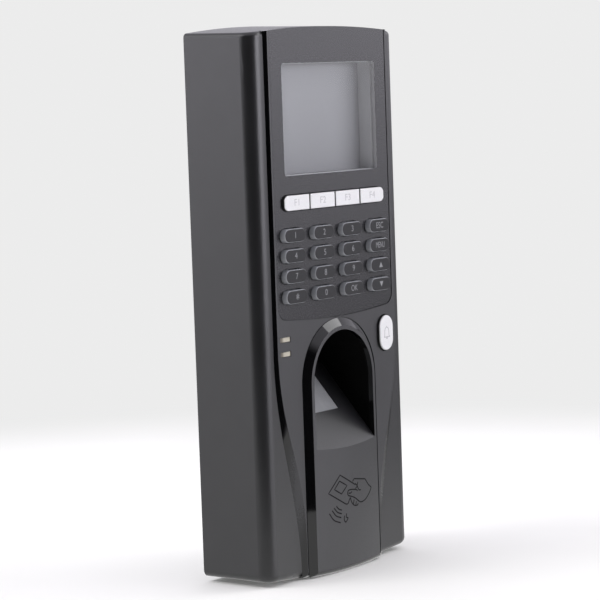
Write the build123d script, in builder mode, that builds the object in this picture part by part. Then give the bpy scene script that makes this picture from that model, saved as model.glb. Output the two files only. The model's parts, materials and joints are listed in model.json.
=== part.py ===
"""Fingerprint scanner terminal: a wall-mounted access unit, modelled in millimetres.

The frame has its origin in the middle of the wall face of the bracket. X runs to the right as seen
from the front, Z runs up, and the front of the terminal faces -Y. Depths are measured from the wall,
so a depth of 27 lies at Y = -27. Sketches on depth(d) have X and Z as their two directions.
"""
from build123d import *
from math import cos, radians, tan
import os

os.makedirs("parts", exist_ok=True)

# --- driving dimensions -------------------------------------------------------------------------
width = 81.2
height = 183.6
arch_rise = 2.0            # how much lower the sides end than the middle, at the top and the bottom
back_lift = 1.0            # how much higher the middle of the top is at the wall than at the front
back_arch_rise = 2.3
shoulder_depth = 27.8      # front of the housing beside the raised front plate
plate_depth = 29.0         # front of the front plate
fascia_depth = 28.85       # front of the inset fascia, display lens included
rim_depth = 30.8           # front of the rim round the finger well
nose_depth = 32.0          # middle of the bulged card panel, the foremost point
wall = 2.2
corner_radius = 4.7        # upright front corners
end_radius = 1.6           # edges of the top, and the corners of the outline seen from the front
foot_radius = 2.4          # edges of the bottom
plate_foot_radius = 2.0
edge_break = 0.3           # rounding of the plate's rim

# --- housing and front plate --------------------------------------------------------------------
front_wall_back = 24.6     # inner face of the housing's front wall
plate_back = 26.1          # ledge of the housing that carries the front plate
plate_half = 33.5          # half width of the front plate above the finger well
plate_foot_half = 34.4     # its bevelled edge is this wide where it meets the housing
tail_half = 21.2           # half width of the front plate at the bottom
tail_foot_half = 23.0
sweep_top, sweep_end = -14.0, -80.0
foot_sweep_top, foot_sweep_end = -16.0, -91.5
overshoot = 96.0           # half height of outlines that the body outline trims
ledge_half = 32.2
ledge_top, ledge_step, ledge_bottom = 88.0, -26.0, -88.0
ledge_tail_half = 19.5

# --- fascia, display and keys -------------------------------------------------------------------
fascia_half = 32.4
fascia_bottom = -5.4
fascia_rise = 1.9
fascia_corner = 4.0
fascia_seat = 27.8
seam = 0.25                # visible gap between neighbouring mouldings
window_x, window_z = 52.7, 36.9
window_centre_z = 61.35
window_corner = 1.2
lens_flange = 0.75
key_pitch_x, key_pitch_z = 16.04, 6.73
key_x, key_z = 11.3, 4.4
first_row_z = 23.5
key_front = 30.75
key_flange = 0.6           # how far the retaining flange stands out behind the plate
key_gap = 0.35
flange_back, flange_front = 25.2, 26.0
nub_back, nub_radius = 24.7, 1.5
bar_x, bar_z, bar_centre_z = 57.0, 5.0, 34.1
bar_front = 29.9
bar_split = 0.6
bell_x, bell_z = 7.8, 12.1
bell_centre = (27.2, -13.9)
bell_front = 30.1
light_x, light_z = 5.4, 1.5
light_centre_x = -29.25
light_centres_z = (-10.5, -15.3)

# --- finger well --------------------------------------------------------------------------------
arch_centre_z = -26.8
surround_half = 20.7       # foot of the bevelled surround, on the front plate
bevel_in, bevel_up = 2.6, 1.8
surround_neck = 19.3       # the part of the surround that fills the opening in the plate
groove_width, groove_deep = 0.35, 0.4      # shadow groove in the plate, round the surround
well_half = 16.8
well_back = 8.0
well_wall = 1.4
liner_front = 29.0
bulge_stations = ((-96.0, 1.15), (-72.0, 1.2), (-50.0, 1.1), (-32.0, 0.6), (-16.0, 0.1), (-2.0, 0.02))
ramp_angle = 48.5          # the finger slides up a slope of this many degrees
ramp_lip = (30.5, -48.1)   # depth and height of a point on the slope
glass_half, glass_length = 8.7, 20.0
glass_low_depth = 21.7
glass_recess = 0.15

# --- inside -------------------------------------------------------------------------------------
cover_back, cover_front = 3.0, 5.0
bracket_x, bracket_z, bracket_thick = 66.0, 172.0, 1.2
board_thick = 1.6
main_board_depth = 10.0
keypad_board_depth = 21.0
interface_board_depth = 20.5
lcd_front = 22.1
case_bosses = [(x, z) for x in (-34.5, 34.5) for z in (-80.0, 0.0, 80.0)]
main_posts = [(x, z) for x in (-26.0, 26.0) for z in (-1.0, 79.0)]
keypad_posts = [(x, z) for x in (-29.4, 29.4) for z in (-2.0, 28.65)]
interface_posts = [(x, z) for x in (-28.0, 28.0) for z in (-85.0, -69.0)]
plate_screw_places = [(-26.0, -33.0), (26.0, -33.0), (-22.5, -55.0), (22.5, -55.0)]
lcd_posts = [(-22.0, 85.7), (22.0, 85.7)]
bracket_holes = (40.0, 120.0)
hook_places = [(x, z) for x in (-24.0, 24.0) for z in (-30.0, 45.0)]
port_x, port_z, port_centre_z = 56.0, 14.0, -76.5
lock_depth = 7.5
lock_hole_radius, lock_recess_radius = 1.7, 3.1
plunger_place = (0.0, 30.0)
slide_gap = 0.1            # clearance between parts that slip into each other

# posts and screws: radius of the post, radius of its bore, length of the bore
case_boss_radius, case_bore_radius, case_bore = 3.0, 1.5, 12.0
interface_post_radius, interface_bore_radius, interface_bore = 2.6, 1.05, 3.6
keypad_post_radius, keypad_bore_radius, keypad_bore = 1.7, 0.95, 3.8
lcd_post_radius, lcd_bore_radius, lcd_bore = 1.8, 0.95, 4.0
lcd_post_back = 20.0
plate_hole_radius, plate_bore_radius, plate_bore = 1.2, 0.95, 2.0
small_head_radius, small_head, small_shaft_radius = 1.7, 1.0, 0.85

# display
lcd_x, lcd_z, lcd_thick = 60.0, 42.8, 2.3
lcd_frame_wall, lcd_frame_gap = 0.8, 0.1
lens_back = fascia_seat - 0.8

# card panel and reader
panel_centre_z = -71.0
panel_recess_x, panel_recess_z = 34.0, 36.0
antenna_x, antenna_z, antenna_back, antenna_thick = 33.0, 35.0, 26.6, 1.0
coil_x, coil_z, coil_width, coil_thick = 31.0, 33.0, 3.0, 0.4

# optical module: depths of its back, its throat and its front, and the height of its floor
module_back, module_throat, module_front, module_floor = 6.8, 19.0, 25.4, -62.0
module_half, module_wall, module_slant = 11.0, 1.4, 7.3
lens_place = (0.0, -15.0)

# speaker, behind the rear cover's grille
speaker_place = (23.0, -50.0)
speaker_radius, speaker_rim, magnet_radius, magnet_thick = 8.5, 3.6, 5.0, 2.4

# things on the main board: places are X and Z
shield_place, shield_x, shield_z, shield_high = (-6.0, 18.0), 26.0, 24.0, 2.8
cell_place, cell_radius, cell_thick, cell_floor = (-12.0, 58.0), 10.0, 3.2, 1.0
relay_place, relay_x, relay_z, relay_high = (17.0, 60.0), 12.0, 24.0, 6.6

# sockets on the interface board
jack_place, jack_back = (-15.8, -77.0), 5.6
block_place, block_back, block_ways, block_pitch = (9.4, -77.0), 10.5, 8, 3.9


def depth(distance):
    """A sketch plane parallel to the wall, facing the user, at this distance from the wall."""
    return Plane.XZ.offset(distance)


def slope_height(distance, clearance=0.0):
    """Height of the finger slope at a depth; clearance moves the slope away from the finger."""
    drop = clearance / cos(radians(ramp_angle))
    return ramp_lip[1] + (ramp_lip[0] - distance) * tan(radians(ramp_angle)) - drop


def body_outline(inset=0.0, lift=0.0, top_rise=arch_rise, rounded=True):
    """The outline of the terminal seen from the front: straight sides and arched ends."""
    half, low = width / 2 - inset, inset - height / 2
    high = lift - low
    with BuildSketch() as outline:
        with BuildLine():
            ThreePointArc((-half, low + arch_rise), (0, low), (half, low + arch_rise))
            Line((half, low + arch_rise), (half, high - top_rise))
            ThreePointArc((half, high - top_rise), (0, high), (-half, high - top_rise))
            Line((-half, high - top_rise), (-half, low + arch_rise))
        make_face()
        if rounded:
            fillet(outline.vertices(), radius=end_radius)
    return outline.sketch


def plate_outline(half, tail, top, end):
    """The front plate: straight beside the display, then swept in towards the tail at the bottom."""
    with BuildSketch() as outline:
        with BuildLine():
            Line((half, overshoot), (half, top))
            Bezier((half, top), (half, top - 28), (tail, end + 28), (tail, end))
            Line((tail, end), (tail, -overshoot))
            mirror(about=Plane.YZ)
            Line((half, overshoot), (-half, overshoot))
            Line((tail, -overshoot), (-tail, -overshoot))
        make_face()
    return outline.sketch


def fascia_outline(gap):
    """The inset fascia: open at the top, a shallow arc with round corners below."""
    half, low = fascia_half + gap, fascia_bottom - gap
    with BuildSketch() as outline:
        with BuildLine():
            ThreePointArc((-half, low + fascia_rise), (0, low), (half, low + fascia_rise))
            Polyline((half, low + fascia_rise), (half, overshoot), (-half, overshoot),
                     (-half, low + fascia_rise))
        make_face()
        fillet(outline.vertices().group_by(Axis.Y)[0], radius=fascia_corner + gap)
    return outline.sketch


def tombstone(half):
    """A round-topped outline that runs straight down past the bottom of the body."""
    with BuildSketch() as outline:
        with BuildLine():
            Line((-half, -overshoot), (-half, arch_centre_z))
            ThreePointArc((-half, arch_centre_z), (0, arch_centre_z + half), (half, arch_centre_z))
            Polyline((half, arch_centre_z), (half, -overshoot), (-half, -overshoot))
        make_face()
    return outline.sketch


def finger_space(clearance, back, front):
    """The space above the finger slope, grown by a clearance, between two depths."""
    with BuildPart() as space:
        with BuildSketch(depth(back)):
            add(tombstone(well_half + clearance))
        extrude(amount=front - back)
        with BuildSketch(Plane.YZ) as below:
            with BuildLine():
                Polyline((-back + 1, slope_height(back - 1, clearance)),
                         (-front - 1, slope_height(front + 1, clearance)),
                         (-front - 1, -overshoot - 1), (-back + 1, -overshoot - 1), close=True)
            make_face()
        extrude(amount=width, both=True, mode=Mode.SUBTRACT)
    return space.part


def body_block(back, front, inset=0.0):
    """The whole outline of the terminal between two depths, used to trim parts to it."""
    with BuildPart() as block:
        with BuildSketch(depth(back)):
            add(body_outline(inset))
        extrude(amount=front - back)
    return block.part


def save(part, name):
    """Label one finished sub-part and write it."""
    part.label = name
    export_step(part, f"parts/{name}.step")


key_columns = [(column - 1.5) * key_pitch_x for column in range(4)]
key_rows = [first_row_z - row * key_pitch_z for row in range(4)]
key_places = [(x, z) for z in key_rows for x in key_columns]
bar_pitch = bar_x / 4
bar_places = [((piece - 1.5) * bar_pitch, bar_centre_z) for piece in range(4)]

# --- housing: sides, ends and shoulders in one shell ---------------------------------------------
with BuildPart() as housing:
    with BuildSketch(depth(0)):
        add(body_outline(lift=back_lift, top_rise=back_arch_rise, rounded=False))
    with BuildSketch(depth(shoulder_depth)):
        add(body_outline(rounded=False))
    loft(ruled=True)
    front_face = housing.faces().sort_by(Axis.Y)[0]
    fillet(front_face.edges().filter_by(Axis.Z), radius=corner_radius)
    for end_face, radius in ((housing.faces().sort_by(Axis.Z)[0], foot_radius),
                             (housing.faces().sort_by(Axis.Z)[-1], end_radius)):
        fillet(end_face.edges().sort_by(Axis.Y)[:-1], radius=radius)
    with BuildSketch(depth(0)):
        add(body_outline(wall))
    extrude(amount=front_wall_back, mode=Mode.SUBTRACT)
    with BuildSketch(depth(plate_back)):
        add(plate_outline(plate_foot_half, tail_foot_half, foot_sweep_top, foot_sweep_end))
    extrude(amount=wall, mode=Mode.SUBTRACT)
    with BuildSketch(depth(front_wall_back)):
        with Locations((0, (ledge_top + ledge_step) / 2)):
            Rectangle(2 * ledge_half, ledge_top - ledge_step)
        with Locations((0, (ledge_step + ledge_bottom) / 2)):
            Rectangle(2 * ledge_tail_half, ledge_step - ledge_bottom)
    extrude(amount=wall, mode=Mode.SUBTRACT)
    with BuildSketch(depth(cover_front)):
        with Locations(*case_bosses):
            Circle(case_boss_radius)
    extrude(amount=front_wall_back - cover_front)
    with BuildSketch(depth(cover_front)):
        with Locations(*case_bosses):
            Circle(case_bore_radius)
    extrude(amount=case_bore, mode=Mode.SUBTRACT)
    with BuildSketch(depth(interface_board_depth + board_thick)):
        with Locations(*interface_posts):
            Circle(interface_post_radius)
    extrude(amount=front_wall_back - interface_board_depth - board_thick)
    with BuildSketch(depth(interface_board_depth + board_thick)):
        with Locations(*interface_posts):
            Circle(interface_bore_radius)
    extrude(amount=interface_bore, mode=Mode.SUBTRACT)
    with BuildSketch(depth(front_wall_back - 1)):
        with Locations(*plate_screw_places):
            Circle(plate_hole_radius)
    extrude(amount=wall + 1, mode=Mode.SUBTRACT)
    with BuildSketch(Plane.XY.offset(-height / 2 - 1)):
        with Locations((0, -lock_depth)):
            Circle(lock_hole_radius)
    extrude(amount=6.0, mode=Mode.SUBTRACT)
    with BuildSketch(Plane.XY.offset(-height / 2 - 1)):
        with Locations((0, -lock_depth)):
            Circle(lock_recess_radius)
    extrude(amount=2.2, mode=Mode.SUBTRACT)
save(housing.part, "housing")

# --- front plate: the raised plate with its swept outline ----------------------------------------
with BuildPart() as front_plate:
    with BuildSketch(depth(plate_back)):
        add(plate_outline(plate_foot_half, tail_foot_half, foot_sweep_top, foot_sweep_end))
    extrude(amount=shoulder_depth - plate_back)
    with BuildSketch(depth(shoulder_depth)):
        add(plate_outline(plate_foot_half, tail_foot_half, foot_sweep_top, foot_sweep_end))
    with BuildSketch(depth(plate_depth)):
        add(plate_outline(plate_half, tail_half, sweep_top, sweep_end))
    loft()
    add(body_block(0, nose_depth), mode=Mode.INTERSECT)
    rim = front_plate.faces().sort_by(Axis.Y)[0].edges()
    fillet(rim.sort_by(Axis.Z)[0], radius=plate_foot_radius)
    rim = front_plate.faces().sort_by(Axis.Y)[0].edges()
    fillet([edge for edge in rim if abs(edge.center().X) > tail_half / 2], radius=edge_break)
    with BuildSketch(depth(fascia_seat)):
        add(fascia_outline(seam))
    extrude(amount=wall, mode=Mode.SUBTRACT)
    with BuildSketch(depth(plate_back)):
        with Locations((0, window_centre_z)):
            RectangleRounded(window_x + 2 * lens_flange, window_z + 2 * lens_flange, window_corner)
        with Locations(*key_places):
            SlotOverall(key_x + 2 * key_gap, key_z + 2 * key_gap)
        with Locations((0, bar_centre_z)):
            SlotOverall(bar_x + 2 * key_gap, bar_z + 2 * key_gap)
        with Locations(bell_centre):
            SlotOverall(bell_z + 2 * key_gap, bell_x + 2 * key_gap, rotation=90)
        for light_z_centre in light_centres_z:
            with Locations((light_centre_x, light_z_centre)):
                Rectangle(light_x + 2 * slide_gap, light_z + 2 * slide_gap)
        add(tombstone(surround_neck + slide_gap))
    extrude(amount=plate_depth, mode=Mode.SUBTRACT)
    with BuildSketch(depth(plate_depth - groove_deep)):
        add(tombstone(surround_half + groove_width))
        add(tombstone(surround_half), mode=Mode.SUBTRACT)
    extrude(amount=groove_deep, mode=Mode.SUBTRACT)
    with BuildSketch(depth(keypad_board_depth + board_thick)):
        with Locations(*keypad_posts):
            Circle(keypad_post_radius)
    extrude(amount=plate_back - keypad_board_depth - board_thick)
    with BuildSketch(depth(keypad_board_depth + board_thick)):
        with Locations(*keypad_posts):
            Circle(keypad_bore_radius)
    extrude(amount=keypad_bore, mode=Mode.SUBTRACT)
    with BuildSketch(depth(lcd_post_back)):
        with Locations(*lcd_posts):
            Circle(lcd_post_radius)
    extrude(amount=plate_back - lcd_post_back)
    with BuildSketch(depth(lcd_post_back)):
        with Locations(*lcd_posts):
            Circle(lcd_bore_radius)
    extrude(amount=lcd_bore, mode=Mode.SUBTRACT)
    with BuildSketch(depth(plate_back)):
        with Locations(*plate_screw_places):
            Circle(plate_bore_radius)
    extrude(amount=plate_bore, mode=Mode.SUBTRACT)
save(front_plate.part, "front_plate")

# --- fascia: thin matte sheet with the window and key openings -----------------------------------
with BuildPart() as fascia:
    with BuildSketch(depth(fascia_seat)):
        add(fascia_outline(0))
        add(body_outline(0.05), mode=Mode.INTERSECT)
        with Locations((0, window_centre_z)):
            RectangleRounded(window_x, window_z, window_corner, mode=Mode.SUBTRACT)
        with Locations(*key_places):
            SlotOverall(key_x + 2 * key_gap, key_z + 2 * key_gap, mode=Mode.SUBTRACT)
        with Locations((0, bar_centre_z)):
            SlotOverall(bar_x + 2 * key_gap, bar_z + 2 * key_gap, mode=Mode.SUBTRACT)
    extrude(amount=fascia_depth - fascia_seat)
save(fascia.part, "fascia")

# --- display lens: fills the window flush, its flange glued behind the fascia --------------------
with BuildPart() as display_window:
    with BuildSketch(depth(lens_back)):
        with Locations((0, window_centre_z)):
            RectangleRounded(window_x + 1.3, window_z + 1.3, window_corner)
    extrude(amount=fascia_seat - lens_back)
    with BuildSketch(depth(fascia_seat)):
        with Locations((0, window_centre_z)):
            RectangleRounded(window_x - 0.1, window_z - 0.1, window_corner - 0.05)
    extrude(amount=fascia_depth - fascia_seat)
save(display_window.part, "display_window")

with BuildPart() as lcd_gasket:
    with BuildSketch(depth(lcd_front)):
        with Locations((0, window_centre_z)):
            RectangleRounded(window_x + 1.3, window_z + 1.3, window_corner)
            Rectangle(window_x - 0.8, window_z - 0.5, mode=Mode.SUBTRACT)
    extrude(amount=lens_back - lcd_front)
save(lcd_gasket.part, "lcd_gasket")

with BuildPart() as lcd_panel:
    with BuildSketch(depth(lcd_front - lcd_thick)):
        with Locations((0, window_centre_z)):
            Rectangle(lcd_x, lcd_z)
    extrude(amount=lcd_thick)
save(lcd_panel.part, "lcd_panel")

frame_back = lcd_front - lcd_thick - lcd_frame_wall
with BuildPart() as lcd_frame:
    with BuildSketch(depth(frame_back)):
        with Locations((0, window_centre_z)):
            Rectangle(lcd_x + 2 * lcd_frame_wall, lcd_z + 2 * lcd_frame_wall)
    extrude(amount=lcd_front - frame_back)
    with BuildSketch(depth(lcd_front - lcd_thick)):
        with Locations((0, window_centre_z)):
            Rectangle(lcd_x + 2 * lcd_frame_gap, lcd_z + 2 * lcd_frame_gap)
    extrude(amount=lcd_thick, mode=Mode.SUBTRACT)
    with BuildSketch(depth(frame_back)):
        with Locations(*lcd_posts):
            Rectangle(8.0, 5.0)
        with Locations(*lcd_posts):
            Circle(1.0, mode=Mode.SUBTRACT)
    extrude(amount=1.0)
save(lcd_frame.part, "lcd_frame")

# --- keys: sixteen small keys, a bar of four function keys and the bell key -----------------------
key_names = ["key_1", "key_2", "key_3", "key_esc", "key_4", "key_5", "key_6", "key_menu",
             "key_7", "key_8", "key_9", "key_up", "key_star", "key_0", "key_ok", "key_down"]
for key_name, place in zip(key_names, key_places):
    with BuildPart() as key:
        with BuildSketch(depth(flange_front)):
            with Locations(place):
                SlotOverall(key_x, key_z)
        extrude(amount=key_front - flange_front)
        fillet(key.faces().sort_by(Axis.Y)[0].edges(), radius=0.4)
        with BuildSketch(depth(flange_back)):
            with Locations(place):
                SlotOverall(key_x + 2 * key_flange, key_z + 2 * key_flange)
        extrude(amount=flange_front - flange_back)
        with BuildSketch(depth(nub_back)):
            with Locations(place):
                Circle(nub_radius)
        extrude(amount=flange_back - nub_back)
    save(key.part, key_name)

for number, place in enumerate(bar_places, start=1):
    with BuildPart() as function_key:
        with BuildSketch(depth(flange_front)):
            with Locations((0, bar_centre_z)):
                SlotOverall(bar_x, bar_z)
            with Locations(place):
                Rectangle(bar_pitch - bar_split, 2 * bar_z, mode=Mode.INTERSECT)
        extrude(amount=bar_front - flange_front)
        fillet(function_key.faces().sort_by(Axis.Y)[0].edges(), radius=0.3)
        with BuildSketch(depth(flange_back)):
            with Locations(place):
                Rectangle(bar_pitch - bar_split, bar_z + 2 * key_flange)
        extrude(amount=flange_front - flange_back)
        with BuildSketch(depth(nub_back)):
            with Locations(place):
                Circle(nub_radius)
        extrude(amount=flange_back - nub_back)
    save(function_key.part, f"function_key_{number}")

with BuildPart() as bell_key:
    with BuildSketch(depth(flange_front)):
        with Locations(bell_centre):
            SlotOverall(bell_z, bell_x, rotation=90)
    extrude(amount=bell_front - flange_front)
    fillet(bell_key.faces().sort_by(Axis.Y)[0].edges(), radius=0.35)
    with BuildSketch(depth(flange_back)):
        with Locations(bell_centre):
            SlotOverall(bell_z + 2 * key_flange, bell_x + 2 * key_flange, rotation=90)
    extrude(amount=flange_front - flange_back)
    with BuildSketch(depth(nub_back + 0.3)):
        with Locations(bell_centre):
            Circle(nub_radius)
    extrude(amount=flange_back - nub_back - 0.3)
save(bell_key.part, "bell_key")

for light_name, light_z_centre in zip(("status_light_upper", "status_light_lower"), light_centres_z):
    with BuildPart() as status_light:
        with BuildSketch(depth(23.4)):
            with Locations((light_centre_x, light_z_centre)):
                Rectangle(light_x, light_z)
        extrude(amount=plate_depth - 0.25 - 23.4)
    save(status_light.part, light_name)

# --- finger surround: bevelled rim, card panel below it, and the lip of the slope -----------------
bevel_top = nose_depth - plate_depth
bevel_shrink = bevel_top * bevel_in / bevel_up
with BuildPart() as bulged_front:
    for station, bulge in bulge_stations:
        edge_depth = rim_depth - 0.76 * bulge
        with BuildSketch(Plane.XY.offset(station)):
            with BuildLine():
                ThreePointArc((-24, -edge_depth), (0, -rim_depth - bulge), (24, -edge_depth))
                Polyline((24, -edge_depth), (24, -20), (-24, -20), (-24, -edge_depth))
            make_face()
    loft()

with BuildPart() as finger_surround:
    with BuildSketch(depth(plate_depth)):
        add(tombstone(surround_half))
    with BuildSketch(depth(nose_depth)):
        add(tombstone(surround_half - bevel_shrink))
    loft()
    add(bulged_front.part, mode=Mode.INTERSECT)
    with BuildSketch(depth(plate_back)):
        add(tombstone(surround_neck))
    extrude(amount=plate_depth - plate_back)
    add(body_block(0, nose_depth + 1), mode=Mode.INTERSECT)
    foot_edges = finger_surround.faces().sort_by(Axis.Z)[0].edges()
    fillet([edge for edge in foot_edges if edge.center().Y < -rim_depth], radius=plate_foot_radius)
    add(finger_space(well_wall + slide_gap, plate_back - 1, liner_front), mode=Mode.SUBTRACT)
    add(finger_space(0, liner_front - 1, nose_depth + 2), mode=Mode.SUBTRACT)
    with BuildSketch(depth(plate_back)):
        with Locations((0, panel_centre_z)):
            Rectangle(panel_recess_x, panel_recess_z)
    extrude(amount=plate_depth - plate_back, mode=Mode.SUBTRACT)
save(finger_surround.part, "finger_surround")

# --- finger well: liner with back wall, side walls and the slope that holds the glass -------------
glass_high_depth = glass_low_depth - glass_length * cos(radians(ramp_angle))
with BuildPart() as finger_well:
    add(finger_space(well_wall, well_back - well_wall, liner_front))
    add(finger_space(0, well_back, liner_front + 1), mode=Mode.SUBTRACT)
    with BuildSketch(Plane.YZ):
        with BuildLine():
            low_end, high_end = glass_low_depth + slide_gap, glass_high_depth - slide_gap
            Polyline((-low_end, slope_height(low_end) + 0.5), (-high_end, slope_height(high_end) + 0.5),
                     (-high_end, slope_height(glass_low_depth) - 6),
                     (-low_end, slope_height(glass_low_depth) - 6), close=True)
        make_face()
    extrude(amount=glass_half + slide_gap, both=True, mode=Mode.SUBTRACT)
save(finger_well.part, "finger_well")

# --- optical module behind the glass ---------------------------------------------------------------
prism_floor = slope_height(glass_low_depth, glass_recess)
with BuildPart() as sensor_prism:
    with BuildSketch(Plane.YZ):
        with BuildLine():
            Polyline((-glass_low_depth, prism_floor),
                     (-glass_high_depth, slope_height(glass_high_depth, glass_recess)),
                     (-glass_high_depth, prism_floor), close=True)
        make_face()
    extrude(amount=glass_half, both=True)
save(sensor_prism.part, "sensor_prism")

with BuildPart() as sensor_housing:
    with BuildSketch(Plane.YZ):
        with BuildLine():
            Polyline((-module_back, prism_floor), (-module_throat, prism_floor),
                     (-module_front, prism_floor - module_slant), (-module_front, module_floor),
                     (-module_back, module_floor), close=True)
        make_face()
    extrude(amount=module_half, both=True)
    inner_back, inner_front = module_back + module_wall, module_front - module_wall
    with BuildSketch(Plane.YZ):
        with BuildLine():
            Polyline((-inner_back, prism_floor - module_wall),
                     (-module_throat + 0.6, prism_floor - module_wall),
                     (-inner_front, prism_floor - module_slant - 0.5), (-inner_front, module_floor - 1),
                     (-inner_back, module_floor - 1), close=True)
        make_face()
    extrude(amount=module_half - module_wall, both=True, mode=Mode.SUBTRACT)
    with BuildSketch(Plane.XY.offset(prism_floor - 2)):
        with Locations((0, -13.6)):
            Rectangle(15.0, 9.0)
    extrude(amount=3.0, mode=Mode.SUBTRACT)
save(sensor_housing.part, "sensor_housing")

sensor_board_thick = 1.2
with BuildPart() as sensor_board:
    with BuildSketch(Plane.XY.offset(module_floor - sensor_board_thick)):
        with Locations((0, -(module_back + module_front) / 2)):
            Rectangle(2 * module_half + 2, module_front - module_back)
    extrude(amount=sensor_board_thick)
save(sensor_board.part, "sensor_board")

with BuildPart() as sensor_lens:
    with BuildSketch(Plane.XY.offset(module_floor)):
        with Locations(lens_place):
            Circle(4.0)
    extrude(amount=4.0)
    with BuildSketch(Plane.XY.offset(module_floor + 4.0)):
        with Locations(lens_place):
            Circle(2.8)
    extrude(amount=3.0)
save(sensor_lens.part, "sensor_lens")

# --- card reader behind the panel -------------------------------------------------------------------
with BuildPart() as card_antenna_board:
    with BuildSketch(depth(antenna_back)):
        with Locations((0, panel_centre_z)):
            Rectangle(antenna_x, antenna_z)
    extrude(amount=antenna_thick)
save(card_antenna_board.part, "card_antenna_board")

with BuildPart() as card_antenna_coil:
    with BuildSketch(depth(antenna_back + antenna_thick)):
        with Locations((0, panel_centre_z)):
            RectangleRounded(coil_x, coil_z, 3.0)
            RectangleRounded(coil_x - 2 * coil_width, coil_z - 2 * coil_width, 2.0, mode=Mode.SUBTRACT)
    extrude(amount=coil_thick)
save(card_antenna_coil.part, "card_antenna_coil")

# --- keypad electronics -----------------------------------------------------------------------------
with BuildPart() as keypad_board:
    with BuildSketch(depth(keypad_board_depth)):
        with Locations((0, 17.25)):
            Rectangle(62.0, 42.5)
        for ear_x in (-27.2, 27.2):
            with Locations((ear_x, -13.0)):
                Rectangle(7.6, 18.0)
        with Locations(*keypad_posts):
            Circle(0.9, mode=Mode.SUBTRACT)
    extrude(amount=board_thick)
save(keypad_board.part, "keypad_board")

mat_back = keypad_board_depth + board_thick
mat_thick, dome_high, dome_radius = 0.6, 0.5, 2.0
with BuildPart() as keypad_mat:
    with BuildSketch(depth(mat_back)):
        with Locations((0, 19.0)):
            Rectangle(55.0, 37.6)
    extrude(amount=mat_thick)
    with BuildSketch(depth(mat_back + mat_thick)):
        with Locations(*key_places, *bar_places):
            Circle(dome_radius)
    extrude(amount=dome_high)
save(keypad_mat.part, "keypad_mat")

switch_side, switch_high, button_radius, button_high = 6.0, 0.9, 1.7, 0.4
with BuildPart() as bell_switch:
    with BuildSketch(depth(mat_back)):
        with Locations(bell_centre):
            Rectangle(switch_side, switch_side)
    extrude(amount=switch_high)
    with BuildSketch(depth(mat_back + switch_high)):
        with Locations(bell_centre):
            Circle(button_radius)
    extrude(amount=button_high)
save(bell_switch.part, "bell_switch")

# --- main electronics ---------------------------------------------------------------------------------
with BuildPart() as main_board:
    with BuildSketch(depth(main_board_depth)):
        with Locations((0, 39.0)):
            Rectangle(60.0, 90.0)
        with Locations(*main_posts):
            Circle(1.3, mode=Mode.SUBTRACT)
    extrude(amount=board_thick)
save(main_board.part, "main_board")

board_front = main_board_depth + board_thick
with BuildPart() as processor_shield:
    with BuildSketch(depth(board_front)):
        with Locations(shield_place):
            Rectangle(shield_x, shield_z)
    extrude(amount=shield_high)
    fillet(processor_shield.edges().filter_by(Axis.Y), radius=1.0)
    offset(amount=-0.4, openings=processor_shield.faces().sort_by(Axis.Y)[-1])
save(processor_shield.part, "processor_shield")

with BuildPart() as cell_holder:
    with BuildSketch(depth(board_front)):
        with Locations(cell_place):
            Circle(cell_radius + 1.8)
    extrude(amount=cell_floor + 3.4)
    with BuildSketch(depth(board_front + cell_floor)):
        with Locations(cell_place):
            Circle(cell_radius + 2 * slide_gap)
    extrude(amount=cell_thick + 0.8, mode=Mode.SUBTRACT)
save(cell_holder.part, "cell_holder")

with BuildPart() as coin_cell:
    with BuildSketch(depth(board_front + cell_floor)):
        with Locations(cell_place):
            Circle(cell_radius)
    extrude(amount=cell_thick)
    fillet(coin_cell.edges().filter_by(GeomType.CIRCLE), radius=0.4)
save(coin_cell.part, "coin_cell")

with BuildPart() as relay:
    with BuildSketch(depth(board_front)):
        with Locations(relay_place):
            Rectangle(relay_x, relay_z)
    extrude(amount=relay_high)
    fillet(relay.edges().filter_by(Axis.Y), radius=0.8)
save(relay.part, "relay")

with BuildPart() as interface_board:
    with BuildSketch(depth(interface_board_depth)):
        with Locations((0, -76.75)):
            Rectangle(61.0, 21.5)
        with Locations(*interface_posts):
            Circle(1.1, mode=Mode.SUBTRACT)
    extrude(amount=board_thick)
save(interface_board.part, "interface_board")

with BuildPart() as network_jack:
    with BuildSketch(depth(jack_back)):
        with Locations(jack_place):
            Rectangle(16.0, 13.0)
    extrude(amount=interface_board_depth - jack_back)
    with BuildSketch(depth(jack_back)):
        with Locations(jack_place):
            Rectangle(11.8, 7.0)
        with Locations((jack_place[0], jack_place[1] - 4.2)):
            Rectangle(6.2, 3.0)
    extrude(amount=11.0, mode=Mode.SUBTRACT)
save(network_jack.part, "network_jack")

with BuildPart() as terminal_block:
    with BuildSketch(depth(block_back)):
        with Locations(block_place):
            Rectangle(block_ways * block_pitch, 10.0)
    extrude(amount=interface_board_depth - block_back)
    with BuildSketch(depth(block_back)):
        with Locations(block_place):
            with GridLocations(block_pitch, 1, block_ways, 1):
                Circle(block_pitch / 3)
    extrude(amount=6.0, mode=Mode.SUBTRACT)
save(terminal_block.part, "terminal_block")

with BuildPart() as speaker:
    with BuildSketch(depth(cover_front)):
        with Locations(speaker_place):
            Circle(speaker_radius)
    extrude(amount=speaker_rim)
    with BuildSketch(depth(cover_front + speaker_rim)):
        with Locations(speaker_place):
            Circle(magnet_radius)
    extrude(amount=magnet_thick)
save(speaker.part, "speaker")

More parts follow.
